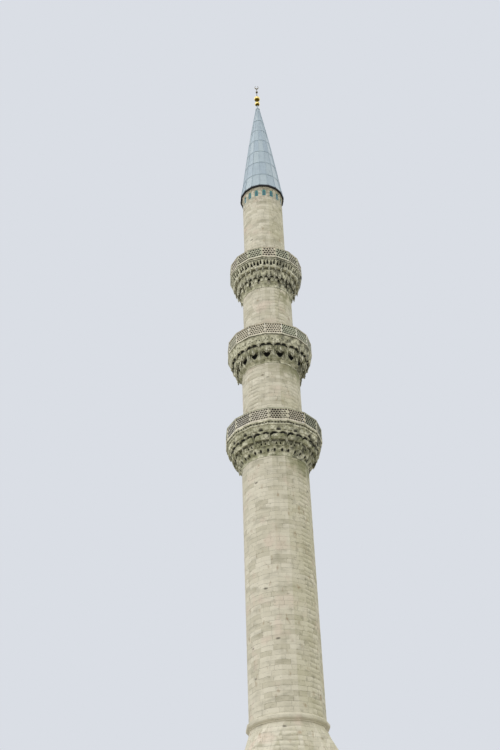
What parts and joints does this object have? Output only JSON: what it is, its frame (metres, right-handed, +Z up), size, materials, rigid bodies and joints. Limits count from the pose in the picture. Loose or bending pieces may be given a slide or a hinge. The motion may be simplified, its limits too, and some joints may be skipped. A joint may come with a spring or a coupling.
{
  "type": "minaret, 1:2 scale model",
  "caption": "Tall sixteen-sided stone minaret with corbelled galleries, pierced parapets, a tiled frieze, a lead cone and a gilded crescent finial, as a half-scale model.",
  "frame": {"origin": "on the axis of the tower, at the middle of the plinth's underside", "axes": "+Z up along the tower's axis, doors on the side towards -Y"},
  "size_m": [3.68, 3.68, 38],
  "materials": {
    "limestone": "weathered dressed limestone, matt",
    "weathered_limestone": "carved limestone with moss and soot, matt",
    "marble": "weathered white marble, matt",
    "wood": "dark oiled boards",
    "lead": "weathered lead sheet on boards, dull",
    "dark_lead": "soot-darkened lead edge, dull",
    "gilding": "gilded copper, polished",
    "tile": "turquoise glaze"
  },
  "bodies": {
    "root": {"plinth": "limestone", "base_wall_left": "limestone", "base_wall_right": "limestone", "base_wall_back": "limestone", "base_wall_front_left": "limestone", "base_wall_front_right": "limestone", "base_wall_over_door": "limestone", "base_cornice": "limestone", "base_door": "wood", "base_door_surround": "limestone", "transition": "limestone", "lower_ring": "limestone", "main_shaft": "limestone", "second_shaft": "limestone", "third_shaft": "limestone", "top_shaft": "limestone", "second_shaft_door": "wood", "third_shaft_door": "wood", "top_shaft_door": "wood", "gallery_1_corbel_lower": "weathered_limestone", "gallery_1_corbel_middle": "weathered_limestone", "gallery_1_corbel_upper": "weathered_limestone", "gallery_1_floor": "limestone", "gallery_1_parapet": "marble", "gallery_2_corbel_lower": "weathered_limestone", "gallery_2_corbel_middle": "weathered_limestone", "gallery_2_corbel_upper": "weathered_limestone", "gallery_2_floor": "limestone", "gallery_2_parapet": "marble", "gallery_3_corbel_lower": "weathered_limestone", "gallery_3_corbel_middle": "weathered_limestone", "gallery_3_corbel_upper": "weathered_limestone", "gallery_3_floor": "limestone", "gallery_3_parapet": "marble", "tile_frieze": "limestone", "eave_cornice": "limestone", "eave_fascia": "dark_lead", "lead_cone": "lead", "finial_collar": "gilding", "finial_lower_ball": "gilding", "finial_upper_ball": "gilding", "finial_small_ball": "gilding", "finial_crescent": "gilding"}
  },
  "joints": []
}
